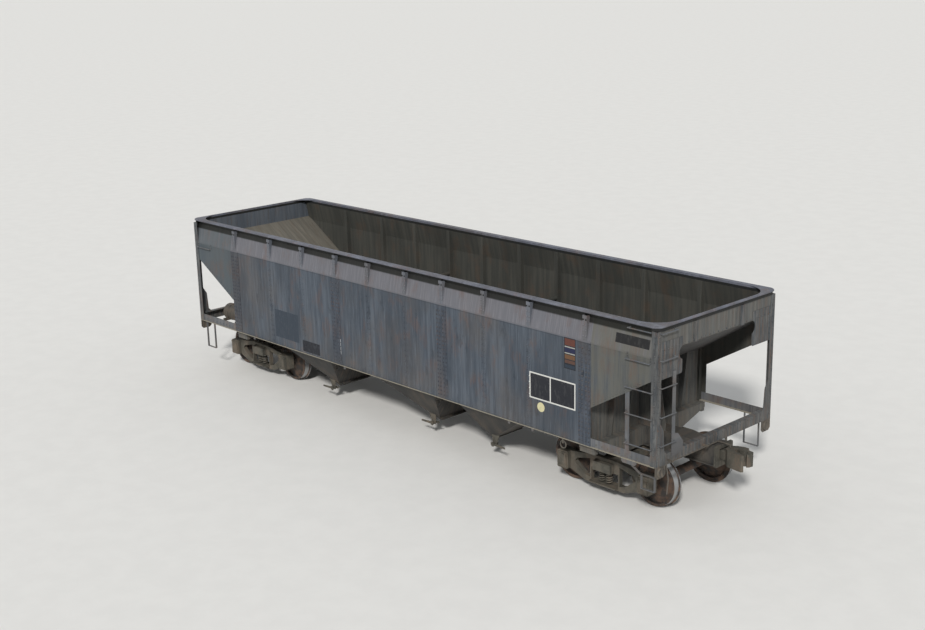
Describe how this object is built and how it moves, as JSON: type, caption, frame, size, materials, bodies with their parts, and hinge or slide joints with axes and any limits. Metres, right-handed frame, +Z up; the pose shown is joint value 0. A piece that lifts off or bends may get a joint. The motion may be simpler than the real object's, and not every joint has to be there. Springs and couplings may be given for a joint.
{
  "type": "open hopper wagon",
  "caption": "Open-topped bogie hopper wagon with offset sides, sloped ends, three bottom-door hoppers, swivelling bogies and automatic couplers.",
  "frame": {"origin": "on the floor under the wagon's centre, at the lowest points of the wheel flanges, 25 mm below the rail head", "axes": "+X along the wagon towards the end without the hand brake, +Y across it, +Z up"},
  "size_m": [13.956, 3.212, 3.325],
  "materials": {
    "side_paint": "weathered dark blue-grey paint with rust and dust",
    "inside_steel": "scoured and rusted steel",
    "frame_paint": "dark dusty paint",
    "cast_steel": "dusty brown cast steel",
    "wheel_steel": "bright rolled tread on dark steel"
  },
  "bodies": {
    "car_body": {"air_reservoir": "frame_paint", "body_bolsters": "frame_paint", "brake_cylinder": "frame_paint", "brake_gear_bars": "frame_paint", "brake_valve": "frame_paint", "brake_wheel": "side_paint", "centre_sill": "frame_paint", "centre_sill_cover": "inside_steel", "chute_inner_plates": "inside_steel", "chute_side_plates": "side_paint", "corner_posts": "side_paint", "cross_ridges": "inside_steel", "cross_ties": "inside_steel", "door_hinges": "frame_paint", "door_latches": "cast_steel", "end_gussets": "side_paint", "end_sheets": "side_paint", "end_sills": "frame_paint", "end_slope_sheets": "inside_steel", "end_stakes": "side_paint", "end_top_chords": "side_paint", "grab_irons": "side_paint", "ladders": "side_paint", "poling_pockets": "frame_paint", "ridge_gussets": "inside_steel", "side_sheets": "side_paint", "side_sills": "side_paint", "side_stakes": "side_paint", "side_top_chords": "side_paint", "sill_steps": "side_paint", "slope_braces": "frame_paint", "splice_plates": "side_paint", "strikers": "cast_steel", "train_pipe": "frame_paint", "uncoupling_levers": "frame_paint"},
    "bogie_right": {"side_frames_right": "cast_steel", "bogie_bolster_right": "cast_steel", "springs_right": "cast_steel", "brake_beams_right": "cast_steel"},
    "wheelset_right_outer": {"wheelset_right_outer": "wheel_steel"},
    "wheelset_right_inner": {"wheelset_right_inner": "wheel_steel"},
    "coupler_right": {"coupler_right": "cast_steel"},
    "knuckle_right": {"knuckle_right": "cast_steel"},
    "bogie_left": {"side_frames_left": "cast_steel", "bogie_bolster_left": "cast_steel", "springs_left": "cast_steel", "brake_beams_left": "cast_steel"},
    "wheelset_left_outer": {"wheelset_left_outer": "wheel_steel"},
    "wheelset_left_inner": {"wheelset_left_inner": "wheel_steel"},
    "coupler_left": {"coupler_left": "cast_steel"},
    "knuckle_left": {"knuckle_left": "cast_steel"},
    "hopper_door_1_near": {"hopper_door_1_near": "side_paint"},
    "hopper_door_1_far": {"hopper_door_1_far": "side_paint"},
    "hopper_door_2_near": {"hopper_door_2_near": "side_paint"},
    "hopper_door_2_far": {"hopper_door_2_far": "side_paint"},
    "hopper_door_3_near": {"hopper_door_3_near": "side_paint"},
    "hopper_door_3_far": {"hopper_door_3_far": "side_paint"}
  },
  "joints": [
    {"name": "bogie_right_swivel", "type": "hinge", "parent": "car_body", "child": "bogie_right", "pos_m": [4.85, 0, 0.665], "axis": [0, 0, 1], "range_deg": [-10, 10]},
    {"name": "wheelset_right_outer_roll", "type": "hinge", "parent": "bogie_right", "child": "wheelset_right_outer", "pos_m": [5.7135, 0, 0.444], "axis": [0, 1, 0], "continuous": true},
    {"name": "wheelset_right_inner_roll", "type": "hinge", "parent": "bogie_right", "child": "wheelset_right_inner", "pos_m": [3.9865, 0, 0.444], "axis": [0, 1, 0], "continuous": true},
    {"name": "coupler_right_swing", "type": "hinge", "parent": "car_body", "child": "coupler_right", "pos_m": [6.18, 0, 0.901], "axis": [0, 0, 1], "range_deg": [-7, 7]},
    {"name": "knuckle_right_open", "type": "hinge", "parent": "coupler_right", "child": "knuckle_right", "pos_m": [6.805, 0.112, 0.901], "axis": [0, 0, 1], "range_deg": [0, 45]},
    {"name": "bogie_left_swivel", "type": "hinge", "parent": "car_body", "child": "bogie_left", "pos_m": [-4.85, 0, 0.665], "axis": [0, 0, 1], "range_deg": [-10, 10]},
    {"name": "wheelset_left_outer_roll", "type": "hinge", "parent": "bogie_left", "child": "wheelset_left_outer", "pos_m": [-5.7135, 0, 0.444], "axis": [0, 1, 0], "continuous": true},
    {"name": "wheelset_left_inner_roll", "type": "hinge", "parent": "bogie_left", "child": "wheelset_left_inner", "pos_m": [-3.9865, 0, 0.444], "axis": [0, 1, 0], "continuous": true},
    {"name": "coupler_left_swing", "type": "hinge", "parent": "car_body", "child": "coupler_left", "pos_m": [-6.18, 0, 0.901], "axis": [0, 0, 1], "range_deg": [-7, 7]},
    {"name": "knuckle_left_open", "type": "hinge", "parent": "coupler_left", "child": "knuckle_left", "pos_m": [-6.805, -0.112, 0.901], "axis": [0, 0, 1], "range_deg": [0, 45]},
    {"name": "hopper_door_1_near_swing", "type": "hinge", "parent": "car_body", "child": "hopper_door_1_near", "pos_m": [-1.87391, 0, 0.86888], "axis": [0, -1, 0], "range_deg": [0, 50]},
    {"name": "hopper_door_1_far_swing", "type": "hinge", "parent": "car_body", "child": "hopper_door_1_far", "pos_m": [-1.87391, 0, 0.86888], "axis": [0, -1, 0], "range_deg": [0, 50]},
    {"name": "hopper_door_2_near_swing", "type": "hinge", "parent": "car_body", "child": "hopper_door_2_near", "pos_m": [1.12609, 0, 0.86888], "axis": [0, -1, 0], "range_deg": [0, 50]},
    {"name": "hopper_door_2_far_swing", "type": "hinge", "parent": "car_body", "child": "hopper_door_2_far", "pos_m": [1.12609, 0, 0.86888], "axis": [0, -1, 0], "range_deg": [0, 50]},
    {"name": "hopper_door_3_near_swing", "type": "hinge", "parent": "car_body", "child": "hopper_door_3_near", "pos_m": [1.87391, 0, 0.86888], "axis": [0, 1, 0], "range_deg": [0, 50]},
    {"name": "hopper_door_3_far_swing", "type": "hinge", "parent": "car_body", "child": "hopper_door_3_far", "pos_m": [1.87391, 0, 0.86888], "axis": [0, 1, 0], "range_deg": [0, 50]}
  ]
}
